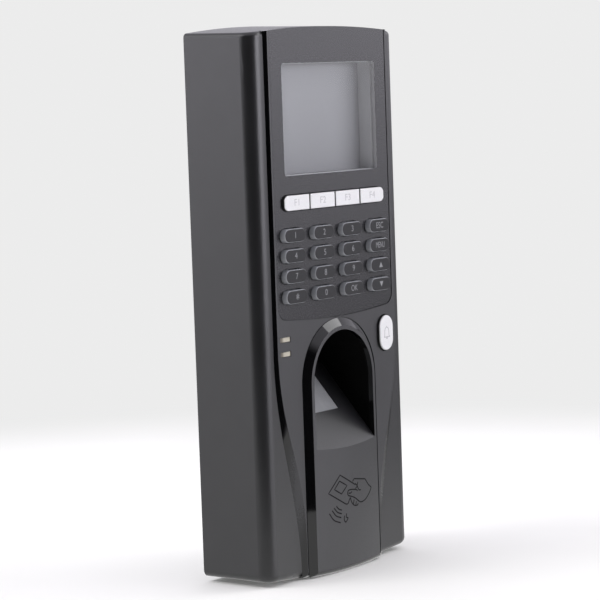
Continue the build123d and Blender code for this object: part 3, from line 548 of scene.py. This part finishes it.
def light_pipe():
    """Milky light guide, with painted shade making it dark and brownish towards its left end."""
    made = surface("light_pipe", (0.30, 0.28, 0.22), 0.3)
    kit = made.kit
    across = kit.separate(kit.new("ShaderNodeTexCoord").outputs["Object"])[0]
    lit = kit.ramp(across, [(PIPE_SHADE_ENDS[0], 0.0), (PIPE_SHADE_ENDS[1], 1.0)])
    cloud = kit.noise(900, 2.0)
    pale = kit.mix_colour(cloud, (0.36, 0.335, 0.265), (0.46, 0.43, 0.345))
    # painted shade: the left end is coloured dark brown
    kit.join(kit.mix_colour(lit, (0.10, 0.085, 0.06), pale), made.shader.inputs["Base Color"])
    return made.material


def make_materials():
    """One finished material for each slot of the record."""
    return {
        "housing_plastic": spark_textured("housing_plastic", (0.014, 0.014, 0.015), 0.33),
        "gloss_plastic": bevel_polished("gloss_plastic", (0.014, 0.014, 0.0155), 0.40, 0.05),
        "fascia_matte": spark_textured("fascia_matte", (0.010, 0.010, 0.0115), 0.26, height=0.003),
        "well_plastic": well_plastic(),
        "inner_plastic": spark_textured("inner_plastic", (0.020, 0.020, 0.020), 0.5),
        "terminal_green": spark_textured("terminal_green", (0.03, 0.25, 0.09), 0.4),
        "silicone": spark_textured("silicone", (0.33, 0.33, 0.33), 0.55),
        "grey_foam": grey_foam(),
        "display_lens": clear_lens(),
        "lcd_glass": screen_glass(),
        "silver_plastic": silver_paint(),
        "key_plastic": key_plastic(),
        "light_pipe": light_pipe(),
        "prism_glass": optical_glass(),
        "circuit_board": circuit_board(),
        "copper_trace": metal("copper_trace", (0.80, 0.45, 0.25), 0.3),
        "plated_steel": metal("plated_steel", (0.62, 0.62, 0.61), 0.28),
        "cell_steel": metal("cell_steel", (0.70, 0.70, 0.69), 0.2),
        "bracket_steel": metal("bracket_steel", (0.48, 0.49, 0.50), 0.35, grain=900, height=0.001),
    }


# --- printed and engraved detail -----------------------------------------------------------------
def centre_of(node):
    low, high = (Vector(corner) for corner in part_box(node))
    return (low + high) / 2, low.y


def legend(node, words, size, narrow, ink, body):
    """A thin printed word in the middle of a key's top, its letters narrowed by a factor."""
    centre, front = centre_of(node)
    text = bpy.data.curves.new(f"legend_{node}", "FONT")
    text.body = words
    text.size = size
    text.align_x, text.align_y = "CENTER", "CENTER"
    text.extrude = PRINT_THICKNESS
    text.resolution_u = 6
    text.materials.append(ink)
    piece = bpy.data.objects.new(f"legend_{node}", text)
    piece.location = (centre.x, front, centre.z)
    piece.rotation_euler = (math.radians(90), 0, 0)
    piece.scale = (narrow, 1, 1)
    bpy.context.scene.collection.objects.link(piece)
    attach(piece, body)
    return piece


def printed_shapes(name, outlines, place, ink, body):
    """Thin flat shapes on a front face; each outline runs anticlockwise in X and Z, in millimetres."""
    vertices, faces = [], []
    for outline in outlines:
        first, count = len(vertices), len(outline)
        for proud in (-0.5, 1.0):
            vertices += [(place.x + x * MM, place.y - proud * PRINT_THICKNESS, place.z + z * MM)
                         for x, z in outline]
        faces.append([first + i for i in reversed(range(count))])
        faces.append([first + count + i for i in range(count)])
        faces += [(first + i, first + (i + 1) % count, first + count + (i + 1) % count,
                   first + count + i) for i in range(count)]
    mesh = bpy.data.meshes.new(name)
    mesh.from_pydata(vertices, [], faces)
    mesh.materials.append(ink)
    piece = bpy.data.objects.new(name, mesh)
    bpy.context.scene.collection.objects.link(piece)
    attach(piece, body)
    return piece


def bar_outline(length, width, angle):
    """A thin bar through the origin, turned by an angle in degrees."""
    ways = ((1, -1), (1, 1), (-1, 1), (-1, -1))
    turned = math.radians(angle)
    return [(x * length / 2 * math.cos(turned) - z * width / 2 * math.sin(turned),
             x * length / 2 * math.sin(turned) + z * width / 2 * math.cos(turned)) for x, z in ways]


def front_of(node):
    centre, front = centre_of(node)
    return Vector((centre.x, front, centre.z))


def hugging(node):
    """A function that gives the point of a node's front surface at an X and a Z."""
    mesh = NODES[node].data
    mesh.calc_loop_triangles()
    tree = BVHTree.FromPolygons([v.co for v in mesh.vertices],
                                [t.vertices for t in mesh.loop_triangles])

    def touch(x, z):
        return tree.ray_cast(Vector((x, -0.1, z)), Vector((0, 1, 0)))[0]
    return touch


def smooth_line(points, steps=6):
    """A Catmull-Rom curve through the points, divided finely."""
    ends = [points[0] * 2 - points[1], *points, points[-1] * 2 - points[-2]]
    line = []
    for before, start, end, after in zip(ends, ends[1:], ends[2:], ends[3:]):
        for step in range(steps):
            t = step / steps
            line.append(0.5 * (2 * start + (end - before) * t
                               + (2 * before - 5 * start + 4 * end - after) * t * t
                               + (3 * start - before - 3 * end + after) * t ** 3))
    return line + [points[-1]]


def divided(points, longest=1.2):
    """Straight runs between the points, divided so that no piece is longer than this."""
    line = []
    for start, end in zip(points, points[1:]):
        count = max(1, round((end - start).length / longest))
        line += [start.lerp(end, step / count) for step in range(count)]
    return line + [points[-1]]


def engraved_lines(name, strokes, touch, width, ink, body):
    """Thin lines laid on a curved front surface; strokes are lists of X and Z in millimetres."""
    vertices, faces = [], []
    for kind, points in strokes:
        corners = [Vector(point) for point in points]
        line = smooth_line(corners) if kind == "curved" else divided(corners)
        first = len(vertices)
        for place, before, after in zip(line, [line[0]] + line, line[1:] + [line[-1]]):
            way = (after - before).normalized()
            aside = Vector((-way.y, way.x)) * width / 2
            for side in (aside, -aside):
                ground = touch((place.x + side.x) * MM, (place.y + side.y) * MM)
                for proud in (1.0, -1.0):
                    vertices.append((ground.x, ground.y - proud * PRINT_THICKNESS, ground.z))
        for station in range(len(line) - 1):
            a, b = first + 4 * station, first + 4 * station + 4
            faces += [(a, b, b + 2, a + 2), (a + 2, b + 2, b + 3, a + 3),
                      (a + 3, b + 3, b + 1, a + 1), (a + 1, b + 1, b, a)]
        last = first + 4 * (len(line) - 1)
        faces += [(first, first + 2, first + 3, first + 1), (last, last + 1, last + 3, last + 2)]
    mesh = bpy.data.meshes.new(name)
    mesh.from_pydata(vertices, [], faces)
    mesh.materials.append(ink)
    piece = bpy.data.objects.new(name, mesh)
    bpy.context.scene.collection.objects.link(piece)
    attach(piece, body)
    return piece


def make_legends():
    """Light grey print on the number keys, faint grey print on the function keys."""
    ink = spark_textured("legend_ink", (0.20, 0.203, 0.21), 0.5)
    faint_ink = spark_textured("faint_ink", (0.42, 0.42, 0.43), 0.5)
    for node, words in KEY_LEGENDS.items():
        legend(node, words, 2.9 * MM, LETTER_WIDTHS.get(words, 1.0), ink, f"{node}_body")
    for node, way in ARROW_KEYS.items():
        half, rise = 1.05, 0.95
        outline = [(-half, -rise), (half, -rise), (0, rise)] if way > 0 else [
            (half, rise), (-half, rise), (0, -rise)]
        printed_shapes(f"legend_{node}", [outline], front_of(node), ink, f"{node}_body")
    star = [bar_outline(1.9, 0.32, angle) for angle in (90, 30, 150)]
    printed_shapes("legend_key_star", star, front_of("key_star"), ink, "key_star_body")
    for number, node in enumerate(FUNCTION_KEYS, start=1):
        legend(node, f"F{number}", 3.2 * MM, 1.15, faint_ink, f"{node}_body")


def make_signs():
    """The engraved card sign below the finger well, and the bell on the bell key."""
    ink = spark_textured("engraved_line", (0.002, 0.002, 0.002), 0.6)
    ink.node_tree.nodes["Principled BSDF"].inputs["Specular IOR Level"].default_value = 0.1
    engraved_lines("card_sign", CARD_SIGN, hugging("finger_surround"), 0.44, ink, "root")
    middle = front_of("bell_key")
    shape = [(kind, [(middle.x / MM + x, middle.z / MM + z) for x, z in points])
             for kind, points in BELL_SIGN]
    grey_ink = spark_textured("bell_line", (0.30, 0.30, 0.31), 0.5)
    engraved_lines("bell_sign", shape, hugging("bell_key"), 0.22, grey_ink, "bell_key_body")


materials = make_materials()
for part in frame["record"]["subparts"]:
    for material_slot in NODES[part["node"]].material_slots:
        material_slot.material = materials[part["material_slot"]]

bpy.context.scene.view_settings.view_transform = "Standard"
make_camera()
make_world()
make_floor()
make_lights()
make_legends()
make_signs()
